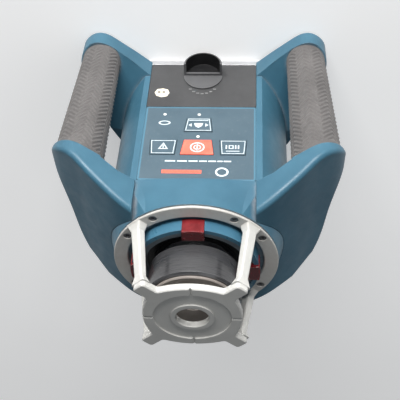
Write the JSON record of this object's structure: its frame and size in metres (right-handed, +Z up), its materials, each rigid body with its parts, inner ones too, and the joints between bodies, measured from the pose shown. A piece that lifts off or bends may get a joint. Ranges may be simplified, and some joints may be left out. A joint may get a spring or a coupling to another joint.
{
  "type": "rotating laser level",
  "caption": "Self-levelling rotating laser level with a gimballed laser unit, a spinning head under a cast cage, two side grips, a battery drawer and tripod threads.",
  "frame": {"origin": "mouth of the tripod thread in the middle of the base underside, on the rotor axis", "axes": "+Z up along the rotor axis, -Y out of the control panel, +X to the right when facing the panel"},
  "size_m": [0.1804, 0.1579, 0.185],
  "materials": {
    "housing_blue": "satin",
    "grip_rubber": "matt, herringbone moulded",
    "cage_metal": "fine cast, painted light grey",
    "base_metal": "machined",
    "thread_brass": "machined",
    "screw_steel": "zinc plated",
    "foot_rubber": "matt",
    "panel_film": "satin film",
    "key_red": "satin",
    "key_blue": "satin",
    "light_clear": "clear",
    "door_dark": "fine grain",
    "latch_grey": "satin",
    "inner_black": "matt",
    "cell_sleeve": "shrink sleeve",
    "spring_steel": "nickel plated",
    "window_red": "tinted, glossy",
    "diode_black": "glossy",
    "cover_grey": "satin",
    "drum_black": "gloss",
    "optic_glass": "polished",
    "board_green": "solder mask",
    "diecast": "diecast",
    "bearing_steel": "polished",
    "motor_can": "satin",
    "nut_nylon": "matt"
  },
  "bodies": {
    "housing": {"front_housing": "housing_blue", "rear_housing": "housing_blue", "right_handle": "housing_blue", "left_handle": "housing_blue", "neck_collar": "housing_blue", "right_grip": "grip_rubber", "left_grip": "grip_rubber", "cage": "cage_metal", "base_plate": "base_metal", "rear_mount_plate": "base_metal", "base_thread_insert": "thread_brass", "rear_thread_insert": "thread_brass", "cage_screws": "screw_steel", "plate_screws": "screw_steel", "housing_screws": "screw_steel", "rear_feet": "foot_rubber", "door_seal": "foot_rubber", "control_panel": "panel_film", "status_lights": "light_clear", "battery_bay": "inner_black", "battery_contacts": "spring_steel", "ir_windows": "window_red", "ir_receivers": "diode_black", "neck_cover": "cover_grey", "main_board": "board_green", "gimbal_brackets": "diecast", "level_motors": "motor_can"},
    "battery_pack": {"battery_door": "door_dark", "battery_tray": "inner_black", "left_cell": "cell_sleeve", "right_cell": "cell_sleeve", "battery_springs": "spring_steel"},
    "latch": {"door_latch": "latch_grey"},
    "power_button": {"power_key": "key_red"},
    "mode_button": {"mode_key": "key_blue"},
    "left_button": {"left_key": "key_blue"},
    "right_button": {"right_key": "key_blue"},
    "gimbal": {"gimbal_ring": "diecast", "gimbal_pins": "bearing_steel"},
    "laser_unit": {"bearing_housing": "diecast", "spindle_bearings": "bearing_steel", "motor_plate": "diecast", "spin_motor": "motor_can", "drive_belt": "foot_rubber", "collimator_barrel": "diecast", "collimator_lens": "optic_glass", "laser_diode_module": "motor_can", "tilt_sensors": "optic_glass"},
    "rotor": {"spindle": "bearing_steel", "rotor_drum": "drum_black", "rotor_cap": "drum_black", "rotor_windows": "optic_glass", "pentaprism": "optic_glass", "prism_holder": "inner_black", "rotor_pulley": "inner_black"},
    "motor_pulley_body": {"motor_pulley": "inner_black"},
    "screw_x_body": {"level_screw_x": "bearing_steel"},
    "nut_x_body": {"level_nut_x": "nut_nylon"},
    "screw_y_body": {"level_screw_y": "bearing_steel"},
    "nut_y_body": {"level_nut_y": "nut_nylon"}
  },
  "joints": [
    {"name": "level_tilt_x", "type": "hinge", "parent": "housing", "child": "gimbal", "pos_m": [0, 0, 0.12], "axis": [1, 0, 0], "range_deg": [-4.5, 4.5]},
    {"name": "level_tilt_y", "type": "hinge", "parent": "gimbal", "child": "laser_unit", "pos_m": [0, 0, 0.12], "axis": [0, 1, 0], "range_deg": [-4.5, 4.5]},
    {"name": "rotor_spin", "type": "hinge", "parent": "laser_unit", "child": "rotor", "pos_m": [0, 0, 0.13], "axis": [0, 0, 1], "continuous": true},
    {"name": "motor_pulley_spin", "type": "hinge", "parent": "laser_unit", "child": "motor_pulley_body", "pos_m": [-0.021, 0.021, 0.1], "axis": [0, 0, 1], "continuous": true},
    {"name": "battery_slide", "type": "slide", "parent": "housing", "child": "battery_pack", "axis": [0, -1, 0], "range_m": [0, 0.08]},
    {"name": "latch_turn", "type": "hinge", "parent": "battery_pack", "child": "latch", "pos_m": [0, -0.044, 0.0181], "axis": [0, 1, 0], "range_deg": [0, 90]},
    {"name": "power_press", "type": "slide", "parent": "housing", "child": "power_button", "axis": [0, 1, 0], "range_m": [0, 0.0005], "stiffness_N_per_m": 900},
    {"name": "mode_press", "type": "slide", "parent": "housing", "child": "mode_button", "axis": [0, 1, 0], "range_m": [0, 0.0005], "stiffness_N_per_m": 900},
    {"name": "left_press", "type": "slide", "parent": "housing", "child": "left_button", "axis": [0, 1, 0], "range_m": [0, 0.0005], "stiffness_N_per_m": 900},
    {"name": "right_press", "type": "slide", "parent": "housing", "child": "right_button", "axis": [0, 1, 0], "range_m": [0, 0.0005], "stiffness_N_per_m": 900},
    {"name": "nut_x_travel", "type": "slide", "parent": "housing", "child": "nut_x_body", "axis": [0, 0, 1], "range_m": [-0.0034, 0.0034]},
    {"name": "screw_x_turn", "type": "hinge", "parent": "housing", "child": "screw_x_body", "pos_m": [0.042, 0, 0.09], "axis": [0, 0, 1], "range_deg": [-600, 600]},
    {"name": "nut_y_travel", "type": "slide", "parent": "housing", "child": "nut_y_body", "axis": [0, 0, 1], "range_m": [-0.0034, 0.0034]},
    {"name": "screw_y_turn", "type": "hinge", "parent": "housing", "child": "screw_y_body", "pos_m": [0, 0.042, 0.09], "axis": [0, 0, 1], "range_deg": [-600, 600]}
  ],
  "couplings": [
    {"joint": "motor_pulley_spin", "follows": "rotor_spin", "ratio": 2.6},
    {"joint": "nut_x_travel", "follows": "level_tilt_y", "m_per_rad": -0.042},
    {"joint": "screw_x_turn", "follows": "level_tilt_y", "ratio": -131.95},
    {"joint": "nut_y_travel", "follows": "level_tilt_x", "m_per_rad": 0.042},
    {"joint": "screw_y_turn", "follows": "level_tilt_x", "ratio": 131.95}
  ]
}
